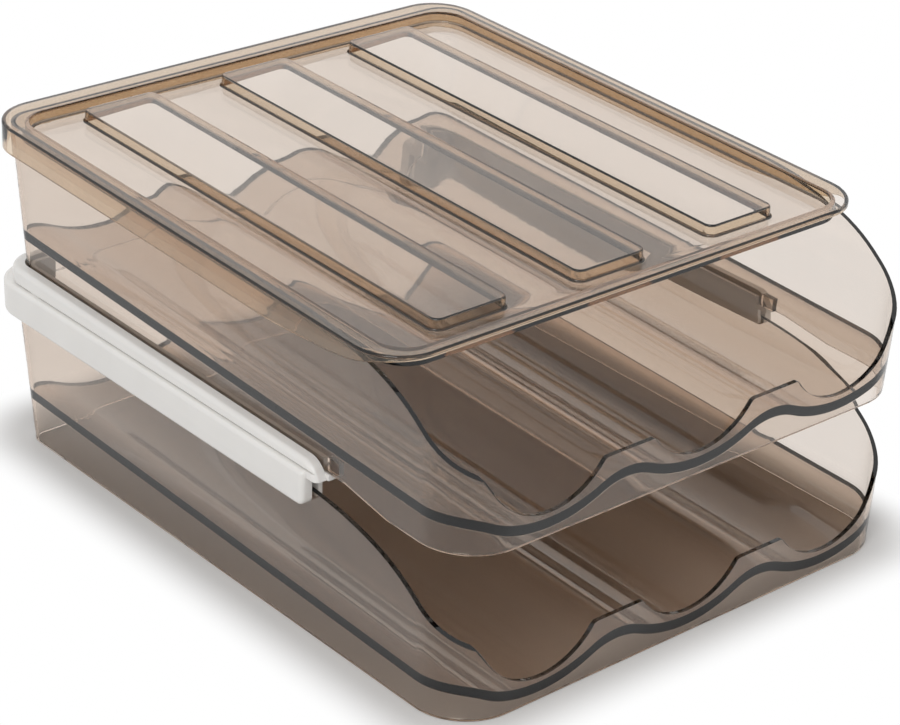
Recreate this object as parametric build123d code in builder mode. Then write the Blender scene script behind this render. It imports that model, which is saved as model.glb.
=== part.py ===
"""Two-tier egg keeper: two sloping trays, a lift-off lid and two connector rails.

Millimetres, +Z up. X runs across the three egg columns, -Y is the open front.
The origin is on the ground, below the middle of the keeper.
"""
from build123d import *
import math
import os

os.makedirs("parts", exist_ok=True)

# ---------------------------------------------------------------- tray walls
wall = 2.0                  # moulded wall thickness
tray_width = 232.2          # outside, at the ground
tray_front = 149.4          # outside front face ahead of the origin, at the ground
tray_back = 135.6           # outside back face behind the origin, at the ground
side_draft = 0.040          # outward lean of each wall, mm per mm of height
front_draft = 0.015
back_draft = 0.125
front_corner = 24.0         # plan radii at the ground
back_corner = 7.5
front_corner_growth = -0.03  # extra radius per mm of height
back_corner_growth = 0.07
rim_height = 66.9           # rim above the ground, measured over the origin
rim_tilt = 0.943            # degrees by which the rim falls toward the front

# rim sweeping down to the open front, in side view
sweep_start = 54.0          # ahead of the origin
sweep_end_height = 28.5     # at the front face
sweep_shape = [(0.40, 0.11), (0.66, 0.35), (0.87, 0.74)]    # share of length, share of drop

# ---------------------------------------------------------------- egg floor
columns = 3
column_margin = 3.6         # wall to the first column
floor_thickness = 4.2
floor_front_height = 4.7    # middle of the sheet in a trough, at the front wall
floor_wave = 8.4            # trough bottom to ridge top
trough_share = 0.68         # share of the wave that the trough arc takes
floor_slope = 0.030         # rise toward the back, so that the eggs roll forward

# ---------------------------------------------------------------- front lip
tab_height = 23.5
tab_width = 24.6
scallop_height = 9.8        # lowest point of the lip in front of each column
tab_round = 2.5
lip_rise = 1.55             # slope of the lip's ends round the corners
lip_cut_depth = 8.0

# ---------------------------------------------------------------- rails
fit = 0.35                  # clearance between a rail and the tray walls
lobe_gap = 0.8              # looser clearance of the upper lobe
rail_rise = 9.0             # upper tray's seat above the lower tray's rim
rail_lip = 4.7              # upper lobe above the seat
rail_drop = 6.9             # lower lobe below the rim
groove_rise = 8.1           # groove between the lobes, above the rim and level
groove_depth = 1.0          # undercut at the foot of the upper lobe
web_rise = 5.3              # underside of the seat's web, above the rim and level
lobe = 5.0
lobe_round = 2.2
inner_lip = 1.8             # thin lips inside the tray walls
inner_lip_height = 4.2
rail_front = 74.8           # front end of the web, ahead of the origin
inner_lip_front = 69.0
upper_lobe_front = 74.0
lower_lobe_front = 67.8
upper_end_round = 9.5       # upper front corner in side view
lower_end_round = 3.5
rail_return = 6.0           # straight run past the back corner
seat_rib = 6.0
seat_ribs = 6
first_rib = 48.0            # ahead of the origin
last_rib = 117.0            # behind the origin

# ---------------------------------------------------------------- skirt relief
relief = 3.9                # the upper tray's skirt is shorter by this much over the rails
relief_front = 83.0         # where the shorter skirt ends, ahead of the rail
relief_ramp = 24.0          # ramp from there to the full skirt
pad_front = 78.6            # thick pad inside the skirt, over the rail's front end
pad_back = 72.0
pad_height = 5.6
pad_depth = 2.2

# ---------------------------------------------------------------- lid
lid_sheet = 1.7
skirt_gap = 1.9             # skirt to the tray's side walls
lid_back_gap = 5.6          # skirt to the tray's back wall
lid_front = 113.4
lid_corner = 20.0
skirt_depth = 9.8           # below the underside of the lid's band
front_skirt = 0.4
taper_start = 38.0          # the skirt gets shallower ahead of this
recess_gap = 1.4            # recess to the tray's side walls
recess_back_gap = 1.0       # recess to the tray's back wall
ridge_sheet = 1.2           # wall of the hollow ridges
front_band = 5.6
recess_depth = 4.9
recess_corner = 13.0
ridge_width = 35.4          # along the top
ridge_height = 4.7
ridge_lean = 5.0            # degrees
ridge_corner = 4.0
ridge_edge = 0.8            # rounding of the ridges' and the recess's upper edges
ridge_foot = 1.2            # rounding at their feet
ridge_pitch = 68.95
ridge_front_gap = 12.3
ridge_back_gap = 6.6

# ---------------------------------------------------------------- derived
half_width = tray_width / 2
column_pitch = (tray_width - 2 * column_margin) / columns
rim_slope = math.tan(math.radians(rim_tilt))
tray_top = rim_height + rim_slope * 160 + 6
rim_half_width = half_width + side_draft * rim_height
rim_back = tray_back + back_draft * rim_height
rail_end = rim_half_width - back_corner - back_corner_growth * rim_height - rail_return
far = 2 * tray_width

tilt = Rot(rim_tilt, 0, 0)
seat_frame = Pos(0, 0, rim_height) * tilt                       # on the lower tray's rim
upper_frame = seat_frame * Pos(0, 0, rail_rise - relief)        # the upper tray's own frame
lid_frame = upper_frame * Pos(0, 0, rim_height) * tilt          # on the upper tray's rim


def plan(z, grow=0.0):
    """Draws the tray's rounded outline at height z, grown outward by grow."""
    half = half_width + side_draft * z + grow
    front = -(tray_front + front_draft * z + grow)
    back = tray_back + back_draft * z + grow
    with Locations((0, (front + back) / 2)):
        Rectangle(2 * half, back - front)
    fillet(vertices().group_by(Axis.Y)[0], front_corner + front_corner_growth * z + grow)
    fillet(vertices().group_by(Axis.Y)[-1], back_corner + back_corner_growth * z + grow)


def block(low, high, grow=0.0):
    """The tray's drafted block between two heights."""
    with BuildPart() as body:
        with BuildSketch(Plane.XY.offset(low)):
            plan(low, grow)
        with BuildSketch(Plane.XY.offset(high)):
            plan(high, grow)
        loft(ruled=True)
    return body.part


def prism(z, grow, low, high):
    """The outline at height z, drawn straight up between two heights."""
    with BuildPart() as body:
        with BuildSketch(Plane.XY.offset(low)):
            plan(z, grow)
        extrude(amount=high - low)
    return body.part


def wave_line(dz):
    """Draws tangent arcs: a trough under each column, a ridge between columns."""
    reach = (column_pitch ** 2 / 4 + floor_wave ** 2) / (2 * floor_wave)
    trough = trough_share * reach
    join = column_pitch / 2 * trough_share
    low = floor_front_height + dz
    middle = low + trough - math.sqrt(trough ** 2 - join ** 2)
    high = low + floor_wave
    first = -(columns + 1) / 2 * column_pitch
    for n in range(columns + 2):
        x = first + n * column_pitch
        ThreePointArc((x - join, middle), (x, low), (x + join, middle))
        if n <= columns:
            following = x + column_pitch
            ThreePointArc((x + join, middle), (x + column_pitch / 2, high), (following - join, middle))
    end = -first + join
    return (-end, middle), (end, middle)


def egg_floor():
    """The wavy sheet under the eggs, sloped and trimmed to the middle of the walls."""
    with BuildPart() as sheet:
        with BuildSketch(Plane.XZ.offset(-tray_back - 40)):
            with BuildLine():
                top_left, top_right = wave_line(floor_thickness / 2)
                low_left, low_right = wave_line(-floor_thickness / 2)
                Line(top_left, low_left)
                Line(top_right, low_right)
            make_face()
        extrude(amount=tray_front + tray_back + 80)
    front = Pos(0, tray_front, 0)
    slope = Rot(math.degrees(math.atan(floor_slope)), 0, 0)
    with BuildPart() as trimmed:
        add(front.inverse() * slope * front * sheet.part)
        add(block(-2, tray_top, -wall / 2), mode=Mode.INTERSECT)
    return trimmed.part


def side_cutter():
    """Everything above the rim: level with the tilted rim, then sweeping down to the front."""
    start = (-sweep_start, rim_height - rim_slope * sweep_start)
    drop = start[1] - sweep_end_height
    length = tray_front - sweep_start
    points = [(start[0] - length * along, start[1] - drop * down) for along, down in sweep_shape]
    end = (-tray_front, sweep_end_height)
    outside = (-tray_front - 6, sweep_end_height - 8)
    with BuildPart() as cutter:
        with BuildSketch(Plane.YZ):
            with BuildLine():
                Spline(start, *points, end, outside, tangents=[(-1, -rim_slope), (-0.6, -1)])
                Polyline(outside, (-tray_front - 30, sweep_end_height), (-tray_front - 30, tray_top + 20),
                         (tray_back + 60, tray_top + 20),
                         (tray_back + 60, rim_height + rim_slope * (tray_back + 60)), start)
            make_face()
        extrude(amount=tray_width, both=True)
    return cutter.part


def lip_cutter():
    """Everything above the front lip: a dip before each column, flat tabs between them."""
    dip = column_pitch - tab_width
    corner = (columns * column_pitch - tab_width) / 2
    rise = 22.0
    with BuildPart() as cutter:
        with BuildSketch(Plane.XZ.offset(tray_front - lip_cut_depth)):
            with BuildLine():
                for n in range(columns):
                    x = (n - (columns - 1) / 2) * column_pitch
                    ThreePointArc((x - dip / 2, tab_height), (x, scallop_height), (x + dip / 2, tab_height))
                    if n < columns - 1:
                        Line((x + dip / 2, tab_height), (x + dip / 2 + tab_width, tab_height))
                end = (corner + rise / lip_rise, tab_height + rise)
                Polyline((corner, tab_height), end, (end[0], tray_top), (-end[0], tray_top),
                         (-end[0], end[1]), (-corner, tab_height))
            make_face()
            tabs = [v for v in vertices() if abs(v.Y - tab_height) < 0.01 and abs(v.X) < corner - 1]
            fillet(tabs, tab_round)
        extrude(amount=30)
    return cutter.part


def make_tray(rail_relief):
    """One tray moulding, standing on z = 0."""
    with BuildPart() as tray:
        add(block(0, tray_top))
        add(block(-1, tray_top + 1, -wall), mode=Mode.SUBTRACT)
        add(egg_floor())
        add(side_cutter(), mode=Mode.SUBTRACT)
        add(lip_cutter(), mode=Mode.SUBTRACT)
        if rail_relief:
            edge = -relief_front
            pad_reach = wall / 2 + pad_depth
            for side in (-1, 1):
                with Locations((side * (half_width - wall / 2 - pad_reach / 2),
                                -(pad_front + pad_back) / 2, relief + fit + pad_height / 2)):
                    Box(pad_reach, pad_front - pad_back, pad_height)
                with BuildSketch(Plane.YZ.offset(side * (rail_end - 1))):
                    with BuildLine():
                        Polyline((edge - relief_ramp, -5), (edge - relief_ramp, 0), (edge, relief),
                                 (far, relief), (far, -5), close=True)
                    make_face()
                extrude(amount=side * 60, mode=Mode.SUBTRACT)
    return tray.part


def behind(front):
    """A tall block that keeps only what lies behind a front line."""
    with BuildPart() as body:
        with BuildSketch():
            with Locations((0, (far - front) / 2)):
                Rectangle(far, far + front)
        extrude(amount=far, both=True)
    return body.part


def lobe_block(z, grow, low, high, front, corner_height, corner):
    """The solid outline of a lobe, its front corner rounded in side view."""
    with BuildPart() as body:
        add(prism(z, grow, low, high))
        add(behind(front), mode=Mode.INTERSECT)
        ends = body.edges().filter_by(Axis.X).group_by(Axis.Y)[0]
        fillet(ends.sort_by_distance((0, -front, corner_height))[0], corner)
    return body.part


def outer_edges(body, front, level, corner):
    """A lobe's long edges at one level, with the rounded corners and ends that continue them."""
    long_edges = [e for e in body.edges() if abs(e.center().Z - level) < 0.01
                  and (abs(e.center().X) > 1 or e.center().Y > 0)]
    end_edges = [e for e in body.edges().filter_by(Plane.YZ) if e.center().Y < corner - front]
    return long_edges + [e for e in end_edges if e not in long_edges and e.length < far / 2]


def rail_upper():
    """The rail's seat, outer lobe and inner lip, in the upper tray's frame."""
    top = relief + rail_lip
    low = -rail_rise
    with BuildPart() as outer:
        add(lobe_block(top, lobe_gap + lobe, low, top, upper_lobe_front, top, upper_end_round))
        fillet(outer_edges(outer, upper_lobe_front, top, upper_end_round), lobe_round)
        add(prism(top, lobe_gap, relief, top + 1), mode=Mode.SUBTRACT)
    with BuildPart() as lips:
        add(prism(relief, -wall - fit, relief - 1, relief + inner_lip_height))
        add(behind(inner_lip_front), mode=Mode.INTERSECT)
    with BuildPart() as body:
        add(prism(relief, lobe_gap, low, relief))
        add(behind(rail_front), mode=Mode.INTERSECT)
        add(lips.part)
        add(outer.part)
        add(prism(relief, -wall - fit - inner_lip, low - 1, top + 1), mode=Mode.SUBTRACT)
    return body.part


def groove_cutter():
    """A level ring that undercuts the foot of the upper lobe."""
    height = relief + rail_lip
    level = rim_height + groove_rise
    with BuildPart() as core:
        with BuildSketch(Plane.XY.offset(level)):
            plan(height, lobe_gap + lobe - groove_depth)
        with BuildSketch(Plane.XY.offset(level + groove_depth)):
            plan(height, lobe_gap + lobe)
        loft(ruled=True)
    with BuildPart() as ring:
        add(prism(height, lobe_gap + lobe + 1, level, level + groove_depth))
        add(core.part, mode=Mode.SUBTRACT)
    return ring.part


def rail_lower():
    """The rail's lower lobe and inner lip, level, round the lower tray's rim."""
    back_rim = rim_height + rim_slope * rim_back
    bottom = rim_height - rail_drop
    groove = rim_height + groove_rise
    lip_bottom = rim_height - inner_lip_height
    with BuildPart() as hollow:
        add(prism(back_rim, fit, bottom - 5, rim_height + web_rise))
        add(prism(lip_bottom, -wall - fit, lip_bottom, rim_height + web_rise), mode=Mode.SUBTRACT)
    with BuildPart() as body:
        add(lobe_block(back_rim, fit + lobe, bottom, groove, lower_lobe_front, bottom, lower_end_round))
        fillet(outer_edges(body, lower_lobe_front, bottom, lower_end_round), lobe_round)
        upper_rim = body.edges().filter_by_position(Axis.Z, groove - 0.01, groove + 0.01)
        fillet(upper_rim.filter_by_position(Axis.Y, 3 - lower_lobe_front, far), lobe_round * 0.8)
        add(hollow.part, mode=Mode.SUBTRACT)
        add(prism(lip_bottom, -wall - fit - inner_lip, bottom - 6, groove + 1), mode=Mode.SUBTRACT)
    return body.part


def make_rail(side):
    """One connector rail, in one piece, clipped over the lower tray's rim."""
    with BuildPart() as rail:
        add(upper_frame * rail_upper())
        with BuildSketch(Plane.XY.offset(rim_height + web_rise)):
            Rectangle(far, 2 * far)
        extrude(amount=-rail_rise * 3, mode=Mode.SUBTRACT)
        add(groove_cutter(), mode=Mode.SUBTRACT)
        add(rail_lower())
        # the space above the seat stays free for the upper tray's skirt
        add(upper_frame * prism(relief, lobe_gap / 2, relief, relief + rail_lip / 4)
            - upper_frame * prism(relief, -wall - fit, relief - 1, relief + rail_lip), mode=Mode.SUBTRACT)
        # ribs that stand on the lower tray's rim
        rib_inner = rim_half_width - wall - inner_lip / 2 - fit
        rib_outer = rim_half_width + fit + lobe / 2
        rib_top = web_rise + rim_slope * first_rib + 0.5
        with Locations(seat_frame):
            for n in range(seat_ribs):
                y = -first_rib + n * (first_rib + last_rib) / (seat_ribs - 1)
                with Locations((side * (rib_inner + rib_outer) / 2, y, rib_top / 2)):
                    Box(rib_outer - rib_inner, seat_rib, rib_top)
        with BuildSketch(Plane.YZ.offset(side * rail_end)):
            Rectangle(2 * far, 2 * far)
        extrude(amount=side * 60, mode=Mode.INTERSECT)
    return rail.part


def lid_plan(grow=0.0):
    """Draws the lid's outline."""
    half = rim_half_width + skirt_gap + lid_sheet + grow
    front = -lid_front - grow
    back = rim_back + lid_back_gap + lid_sheet + grow
    with Locations((0, (front + back) / 2)):
        RectangleRounded(2 * half, back - front, lid_corner + grow)


recess_front = -lid_front + front_band
recess_back = rim_back - wall - recess_back_gap - lid_sheet


def recess_plan(grow=0.0):
    """Draws the recess, which drops just inside the upper tray's walls."""
    half = rim_half_width - wall - recess_gap - lid_sheet + grow
    with Locations((0, (recess_front + recess_back) / 2)):
        RectangleRounded(2 * half, recess_back - recess_front + 2 * grow, recess_corner + grow)


def ridge_plan(grow):
    """Draws the stiffening ridges of the recess, one over each column."""
    front = recess_front + ridge_front_gap - grow
    back = recess_back - ridge_back_gap + grow
    for n in range(columns):
        with Locations(((n - (columns - 1) / 2) * ridge_pitch, (front + back) / 2)):
            RectangleRounded(ridge_width + 2 * grow, back - front, ridge_corner + grow)


def make_lid():
    """The lid, its band lying on z = 0."""
    panel = lid_sheet - recess_depth
    flare = ridge_height * math.tan(math.radians(ridge_lean))
    with BuildPart() as lid:
        with BuildSketch(Plane.XY.offset(-skirt_depth)):
            lid_plan()
        extrude(amount=skirt_depth + lid_sheet)
        fillet(lid.faces().sort_by(Axis.Z)[-1].edges(), 1.0)
        with BuildSketch(Plane.XY.offset(-skirt_depth)):
            lid_plan(-lid_sheet)
        extrude(amount=skirt_depth, mode=Mode.SUBTRACT)

        # the skirt gets shallower toward the front
        with BuildSketch(Plane.YZ):
            with BuildLine():
                start = (-taper_start, -skirt_depth)
                end = (-lid_front - 3, -front_skirt)
                Spline(start, (start[0] + (end[0] - start[0]) * 0.33, -skirt_depth * 0.83),
                       (start[0] + (end[0] - start[0]) * 0.70, -skirt_depth * 0.46),
                       (start[0] + (end[0] - start[0]) * 0.87, -front_skirt - 0.6), end,
                       tangents=[(-1, 0), (-1, 0)])
                Polyline(end, (end[0] - 5, -front_skirt), (end[0] - 5, -skirt_depth - 5),
                         (start[0], -skirt_depth - 5), start)
            make_face()
        extrude(amount=far, both=True, mode=Mode.SUBTRACT)

        # recess
        with BuildSketch(Plane.XY.offset(-recess_depth)):
            recess_plan(lid_sheet)
        extrude(amount=recess_depth)
        with BuildSketch(Plane.XY.offset(panel)):
            recess_plan()
        extrude(amount=recess_depth + 1, mode=Mode.SUBTRACT)

        # ridges, hollow underneath
        with BuildSketch(Plane.XY.offset(panel)):
            ridge_plan(flare)
        extrude(amount=ridge_height, taper=ridge_lean)
        fillet(lid.edges().filter_by_position(Axis.Z, panel - 0.01, panel + 0.01), ridge_foot)
        ridge_top = panel + ridge_height
        fillet(lid.edges().filter_by_position(Axis.Z, ridge_top - 0.01, ridge_top + 0.01), ridge_edge)
        with BuildSketch(Plane.XY.offset(-recess_depth)):
            ridge_plan(flare - ridge_sheet)
        extrude(amount=ridge_height + lid_sheet - ridge_sheet, taper=ridge_lean, mode=Mode.SUBTRACT)
    return lid.part


pieces = {
    "lower_tray": Location() * make_tray(False),
    "upper_tray": upper_frame * make_tray(True),
    "lid": lid_frame * make_lid(),
    "left_rail": Location() * make_rail(-1),
    "right_rail": Location() * make_rail(1),
}
for name, shape in pieces.items():
    with BuildPart() as piece:
        add(shape)
    piece.part.label = name
    export_step(piece.part, "parts/" + name + ".step")
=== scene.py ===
import bmesh
import bpy
import math
from mathutils import Matrix, Vector


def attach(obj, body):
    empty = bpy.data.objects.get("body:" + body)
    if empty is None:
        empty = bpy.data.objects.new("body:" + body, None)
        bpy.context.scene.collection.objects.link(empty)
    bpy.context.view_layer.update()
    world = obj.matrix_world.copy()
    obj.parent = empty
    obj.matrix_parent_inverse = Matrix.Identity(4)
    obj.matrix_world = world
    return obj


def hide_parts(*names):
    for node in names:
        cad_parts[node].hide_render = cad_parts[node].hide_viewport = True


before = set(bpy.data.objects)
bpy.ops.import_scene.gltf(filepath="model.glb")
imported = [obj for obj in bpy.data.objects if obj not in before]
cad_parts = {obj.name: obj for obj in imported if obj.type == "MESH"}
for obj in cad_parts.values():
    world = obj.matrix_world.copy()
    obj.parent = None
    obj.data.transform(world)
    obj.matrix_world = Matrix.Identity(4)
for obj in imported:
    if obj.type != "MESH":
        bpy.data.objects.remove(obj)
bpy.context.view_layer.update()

# --- Egg trays -------------------------------------------------------------
# Two like mouldings in clear, faintly smoky polystyrene: a wavy egg floor, drafted walls and an
# open, scalloped front. The lower one stands on its skirt, the upper one sits on the two rails.

TRAY_EDGE = 0.0004                  # radius left on the moulded edges
SAME_POINT = 2e-6                   # points this near are one
FLAT_ANGLE = math.radians(0.5)      # faces that turn less than this are one
EDGE_ANGLE = math.radians(40)       # a fold sharper than this is an edge
RIM_WIDTH = 0.0026                  # the widest strip that counts as the rim of a sheet
SMOKE_TINT = (0.60, 0.43, 0.27)     # colour that the plastic takes on in its depth
CLEAR = (1, 1, 1)
HAZE = (0.97, 0.965, 0.96)          # the cloudiest spots of the skin
HAZE_SCALE, HAZE_DETAIL = 35.0, 3.0
RIM_PAINTED_SHADE = (0.10, 0.10, 0.105)     # painted shade: the rims of the sheet are darkened to near black
ROUGHNESS_SPREAD = (0.6, 1.4)       # shares of a roughness that the haze moves between
FLOW_STRENGTH, FLOW_HEIGHT = 0.06, 0.0004
UPRIGHT_TO_BEND = (0.10, 0.22)      # how level a face is where a wall turns into a bend,
BEND_TO_LEVEL = (0.93, 0.985)       # and where the bend turns into a level sheet
TRAY_DEPTH, TRAY_ROUGHNESS = 215, 0.02


def mark_rims(work):
    """Gives the narrow strips along the rims of the sheets a rim value of 1, and the rest 0."""
    rim = work.faces.layers.float.new("rim")
    seen = set()
    for first in work.faces:
        if first in seen:
            continue
        seen.add(first)
        strip, queue, border = [], [first], 0.0
        while queue:
            face = queue.pop()
            strip.append(face)
            for edge in face.edges:
                if not edge.smooth:
                    border += edge.calc_length()
                    continue
                for other in edge.link_faces:
                    if other not in seen:
                        seen.add(other)
                        queue.append(other)
        area = sum(face.calc_area() for face in strip)
        # The mean width of a strip is its area over half its border.
        narrow = 2 * area < RIM_WIDTH * border
        for face in strip:
            face[rim] = 1.0 if narrow else 0.0


def moulded_copy(node_name, piece_name, edge_radius):
    """A copy of a solid with its points merged and its sharp edges slightly rounded."""
    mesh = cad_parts[node_name].data.copy()
    mesh.materials.clear()
    mesh.name = piece_name
    work = bmesh.new()
    work.from_mesh(mesh)
    bmesh.ops.remove_doubles(work, verts=work.verts, dist=SAME_POINT)
    bmesh.ops.recalc_face_normals(work, faces=work.faces)
    bmesh.ops.dissolve_limit(work, angle_limit=FLAT_ANGLE, verts=work.verts, edges=work.edges)
    for face in work.faces:
        face.smooth = True
    for edge in work.edges:
        edge.smooth = edge.calc_face_angle(0.0) < EDGE_ANGLE
    mark_rims(work)
    work.to_mesh(mesh)
    work.free()
    piece = bpy.data.objects.new(piece_name, mesh)
    bpy.context.scene.collection.objects.link(piece)
    rounding = piece.modifiers.new("rounded_edges", "BEVEL")
    rounding.width = edge_radius
    rounding.segments = 3
    rounding.limit_method = "ANGLE"
    rounding.angle_limit = EDGE_ANGLE
    rounding.harden_normals = True
    rounding.use_clamp_overlap = True
    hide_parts(node_name)
    return piece


def plastic_shades(nodes, links, source, stops):
    """Turns a value into shades of the plastic, from pairs of position and colour."""
    ramp = nodes.new("ShaderNodeValToRGB")
    elements = ramp.color_ramp.elements
    for element, (position, colour) in zip(elements, (stops[0], stops[-1])):
        element.position, element.color = position, (*colour, 1)
    for position, colour in stops[1:-1]:
        elements.new(position).color = (*colour, 1)
    links.new(source, ramp.inputs["Fac"])
    return ramp.outputs["Color"]


def clear_plastic(name, depth_density, roughness, upright=CLEAR, bend=CLEAR):
    """Clear moulded plastic: tinted in its depth, with painted shade darkening its rims, and faint
    flow marks.

    upright and bend are painted light and shade for the skin of upright walls and of rounded bends.
    """
    material = bpy.data.materials.new(name)
    material.use_nodes = True
    nodes, links = material.node_tree.nodes, material.node_tree.links
    shader = nodes["Principled BSDF"]
    shader.inputs["Transmission Weight"].default_value = 1.0
    shader.inputs["IOR"].default_value = 1.5

    coordinates = nodes.new("ShaderNodeTexCoord")
    haze = nodes.new("ShaderNodeTexNoise")
    haze.inputs["Scale"].default_value = HAZE_SCALE
    haze.inputs["Detail"].default_value = HAZE_DETAIL
    links.new(coordinates.outputs["Object"], haze.inputs["Vector"])
    rough = nodes.new("ShaderNodeMapRange")
    rough.inputs["To Min"].default_value = roughness * ROUGHNESS_SPREAD[0]
    rough.inputs["To Max"].default_value = roughness * ROUGHNESS_SPREAD[1]
    links.new(haze.outputs["Fac"], rough.inputs["Value"])
    links.new(rough.outputs["Result"], shader.inputs["Roughness"])
    skin = plastic_shades(nodes, links, haze.outputs["Fac"], [(0, HAZE), (1, CLEAR)])

    facing = nodes.new("ShaderNodeSeparateXYZ")
    links.new(coordinates.outputs["Normal"], facing.inputs["Vector"])
    level = nodes.new("ShaderNodeMath")
    level.operation = "ABSOLUTE"
    links.new(facing.outputs["Z"], level.inputs[0])
    # painted light and shade: upright walls take the upright colour and rounded bends take the bend
    # colour
    leans = zip(UPRIGHT_TO_BEND + BEND_TO_LEVEL, (upright, bend, bend, CLEAR))
    lean_painted_light = plastic_shades(nodes, links, level.outputs["Value"], list(leans))
    # painted shade: the narrow rim strips of the sheet are darkened to near black
    rim = nodes.new("ShaderNodeAttribute")
    rim.attribute_name = "rim"
    rim_painted_shade = plastic_shades(nodes, links, rim.outputs["Fac"], [(0, CLEAR), (1, RIM_PAINTED_SHADE)])
    for shade in (lean_painted_light, rim_painted_shade):
        product = nodes.new("ShaderNodeMix")
        product.data_type = "RGBA"
        product.blend_type = "MULTIPLY"
        product.inputs["Factor"].default_value = 1.0
        links.new(skin, product.inputs["A"])
        links.new(shade, product.inputs["B"])
        skin = product.outputs["Result"]
    links.new(skin, shader.inputs["Base Color"])

    flow = nodes.new("ShaderNodeBump")
    flow.inputs["Strength"].default_value = FLOW_STRENGTH
    flow.inputs["Distance"].default_value = FLOW_HEIGHT
    links.new(haze.outputs["Fac"], flow.inputs["Height"])
    links.new(flow.outputs["Normal"], shader.inputs["Normal"])
    depth = nodes.new("ShaderNodeVolumeAbsorption")
    depth.inputs["Color"].default_value = (*SMOKE_TINT, 1)
    depth.inputs["Density"].default_value = depth_density
    links.new(depth.outputs["Volume"], nodes["Material Output"].inputs["Volume"])
    return material


tray_plastic = clear_plastic("smoky_clear_plastic", TRAY_DEPTH, TRAY_ROUGHNESS)
for node, body in (("lower_tray", "base"), ("upper_tray", "upper")):
    tray = moulded_copy(node, node + "_moulding", TRAY_EDGE)
    tray.data.materials.append(tray_plastic)
    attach(tray, body)

# --- Lid -------------------------------------------------------------------
# One clear moulding that drops on to the upper tray: a flat band and short skirt round a recessed
# panel, with three stiffening ridges over the egg columns.

LID_EDGE = 0.0006
LID_DEPTH, LID_ROUGHNESS = 190, 0.015
UPRIGHT_PAINTED_GLOW = (0.88, 0.78, 0.64)  # painted light: an amber glow on the walls, for light that has run along the sheet
BEND_PAINTED_SHADE = (0.26, 0.23, 0.20)     # painted shade: the rounded bends are darkened

lid_plastic = clear_plastic("smoky_lid_plastic", LID_DEPTH, LID_ROUGHNESS, UPRIGHT_PAINTED_GLOW, BEND_PAINTED_SHADE)
lid = moulded_copy("lid", "lid_moulding", LID_EDGE)
lid.data.materials.append(lid_plastic)
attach(lid, "cover")

# --- Connector rails -------------------------------------------------------
# A left and a right moulding in glossy white plastic, clipped over the lower tray's rim. The upper
# tray's skirt drops into the groove along their top.

RAIL_EDGE = 0.0005
RAIL_SHADE, RAIL_WHITE = (0.75, 0.735, 0.71), (0.80, 0.785, 0.76)

rail_plastic = bpy.data.materials.new("white_rail_plastic")
rail_plastic.use_nodes = True
nodes, links = rail_plastic.node_tree.nodes, rail_plastic.node_tree.links
shader = nodes["Principled BSDF"]
shader.inputs["Roughness"].default_value = 0.25
shader.inputs["Subsurface Weight"].default_value = 0.15
shader.inputs["Subsurface Radius"].default_value = (1.0, 0.9, 0.8)
shader.inputs["Subsurface Scale"].default_value = 0.002
grain = nodes.new("ShaderNodeTexNoise")
grain.inputs["Scale"].default_value = 60.0
coordinates = nodes.new("ShaderNodeTexCoord")
links.new(coordinates.outputs["Object"], grain.inputs["Vector"])
rail_white = plastic_shades(nodes, links, grain.outputs["Fac"], [(0, RAIL_SHADE), (1, RAIL_WHITE)])
links.new(rail_white, shader.inputs["Base Color"])
for node in ("left_rail", "right_rail"):
    rail = moulded_copy(node, node + "_moulding", RAIL_EDGE)
    rail.data.materials.append(rail_plastic)
    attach(rail, "base")

# --- Table, light and camera -----------------------------------------------
# A white table top with a faint shadow, a soft lamp above the left shoulder and an even white
# surround.

TABLE_REACH = 6.0                       # far enough to fill every view
TABLE_DROP = 0.0002                     # just below the ground that the keeper stands on
TABLE_MATT_PAINTED_SHADE = (0.72, 0.71, 0.70)
MATT_HALF = {"X": 0.10, "Y": 0.13}      # half-sizes of the part of the table that stays matt,
MATT_FADE = (0.018, 0.045)              # which turns plain white over this much beyond them
SURROUND_LIGHT = 0.75                   # strength of the surround as a light

table_mesh = bpy.data.meshes.new("table_top")
corners = [(x * TABLE_REACH, y * TABLE_REACH, -TABLE_DROP)
           for x, y in ((-1, -1), (1, -1), (1, 1), (-1, 1))]
table_mesh.from_pydata(corners, [], [(0, 1, 2, 3)])
table = bpy.data.objects.new("table_top", table_mesh)
bpy.context.scene.collection.objects.link(table)
table_white = bpy.data.materials.new("table_white")
table_white.use_nodes = True
nodes, links = table_white.node_tree.nodes, table_white.node_tree.links
nodes.remove(nodes["Principled BSDF"])


def seen_directly(nodes, links):
    """Camera, mirror and see-through rays, which get the plain white background."""
    path = nodes.new("ShaderNodeLightPath")
    total = path.outputs["Is Camera Ray"]
    for kind in ("Is Glossy Ray", "Is Transmission Ray"):
        both = nodes.new("ShaderNodeMath")
        both.operation = "MAXIMUM"
        links.new(total, both.inputs[0])
        links.new(path.outputs[kind], both.inputs[1])
        total = both.outputs["Value"]
    return total


def table_measure(nodes, links, operation, first, second):
    """One step in working out how white the table is, from two sockets or plain numbers."""
    node = nodes.new("ShaderNodeMath")
    node.operation = operation
    for socket, value in zip(node.inputs, (first, second)):
        if isinstance(value, (int, float)):
            socket.default_value = value
        else:
            links.new(value, socket)
    return node.outputs["Value"]


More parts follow.
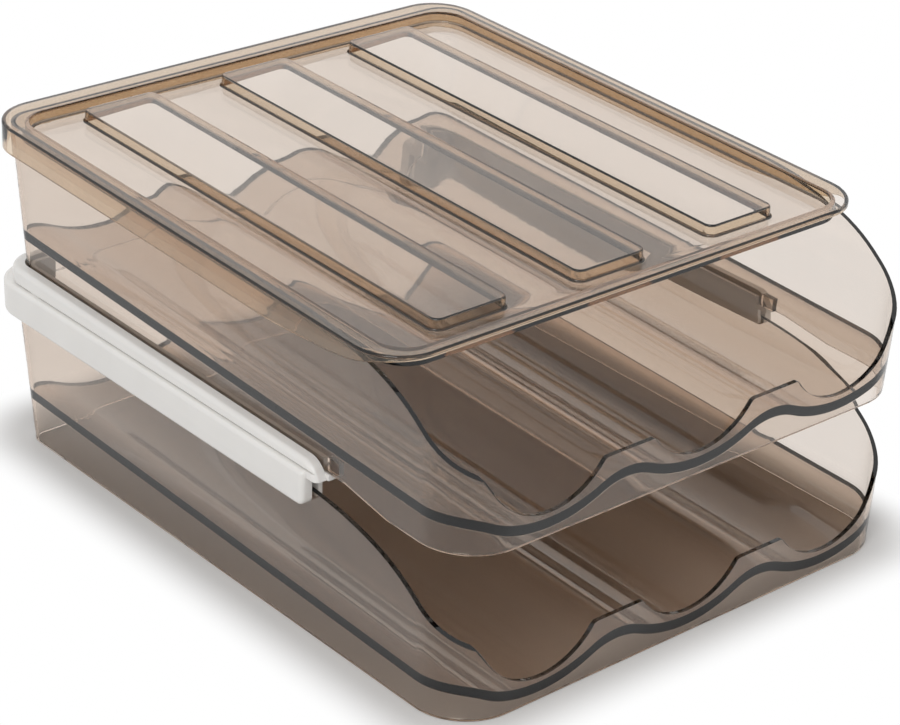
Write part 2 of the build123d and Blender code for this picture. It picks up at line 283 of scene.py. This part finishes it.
# Under and round the keeper the table is matt and takes its shadow. Its matt colour is greyer than
# the white beyond, which is painted shade that deepens the shade under the keeper. Further out it
# turns into the even white of the surround.
place = nodes.new("ShaderNodeTexCoord")
split = nodes.new("ShaderNodeSeparateXYZ")
links.new(place.outputs["Object"], split.inputs["Vector"])
beyond = []
for axis, half in MATT_HALF.items():
    distance = table_measure(nodes, links, "ABSOLUTE", split.outputs[axis], 0.0)
    past = table_measure(nodes, links, "SUBTRACT", distance, half)
    past = table_measure(nodes, links, "MAXIMUM", past, 0.0)
    beyond.append(table_measure(nodes, links, "MULTIPLY", past, past))
away = table_measure(nodes, links, "SQRT", table_measure(nodes, links, "ADD", *beyond), 0.0)
fade = nodes.new("ShaderNodeMapRange")
fade.interpolation_type = "SMOOTHSTEP"
fade.inputs["From Min"].default_value, fade.inputs["From Max"].default_value = MATT_FADE
links.new(away, fade.inputs["Value"])
share = table_measure(nodes, links, "MULTIPLY", seen_directly(nodes, links), fade.outputs["Result"])

# painted shade: the greyer matt colour darkens the table under and round the keeper
diffuse = nodes.new("ShaderNodeBsdfDiffuse")
diffuse.inputs["Color"].default_value = (*TABLE_MATT_PAINTED_SHADE, 1)
white = nodes.new("ShaderNodeEmission")
white.inputs["Color"].default_value = (1, 1, 1, 1)
white.inputs["Strength"].default_value = 1.0
mix = nodes.new("ShaderNodeMixShader")
links.new(share, mix.inputs["Fac"])
links.new(diffuse.outputs["BSDF"], mix.inputs[1])
links.new(white.outputs["Emission"], mix.inputs[2])
links.new(mix.outputs["Shader"], nodes["Material Output"].inputs["Surface"])
table_mesh.materials.append(table_white)

world = bpy.data.worlds.new("studio")
bpy.context.scene.world = world
world.use_nodes = True
nodes, links = world.node_tree.nodes, world.node_tree.links
surround = nodes["Background"]
surround.inputs["Color"].default_value = (1, 1, 1, 1)
strength = nodes.new("ShaderNodeMapRange")
strength.inputs["To Min"].default_value = SURROUND_LIGHT
strength.inputs["To Max"].default_value = 1.0
links.new(seen_directly(nodes, links), strength.inputs["Value"])
links.new(strength.outputs["Result"], surround.inputs["Strength"])

LAMP_PLACE = (-1.2, -0.9, 1.7)
LAMP_TARGET = Vector((0, 0, 0.07))
lamp_data = bpy.data.lights.new("softbox", "AREA")
lamp_data.size = 0.9
lamp_data.energy = 14.0
lamp = bpy.data.objects.new("softbox", lamp_data)
lamp.location = LAMP_PLACE
lamp.rotation_euler = (LAMP_TARGET - lamp.location).to_track_quat("-Z", "Y").to_euler()
bpy.context.scene.collection.objects.link(lamp)

CAMERA_PLACE = (-0.6533, -0.7621, 0.5644)
yaw, pitch, roll = math.radians(40.79), math.radians(26.91), math.radians(1.84)
ahead = Vector((math.sin(yaw) * math.cos(pitch), math.cos(yaw) * math.cos(pitch), -math.sin(pitch)))
sideways = Vector((math.cos(yaw), -math.sin(yaw), 0))
above = sideways.cross(ahead)
right = math.cos(roll) * sideways + math.sin(roll) * above
up = -math.sin(roll) * sideways + math.cos(roll) * above
camera_data = bpy.data.cameras.new("camera")
camera_data.sensor_width = 36.0
camera_data.lens = 109.28
camera = bpy.data.objects.new("camera", camera_data)
turn = Matrix((right, up, -ahead)).transposed()
camera.matrix_world = Matrix.Translation(CAMERA_PLACE) @ turn.to_4x4()
bpy.context.scene.collection.objects.link(camera)
bpy.context.scene.camera = camera
bpy.context.scene.view_settings.view_transform = "Standard"
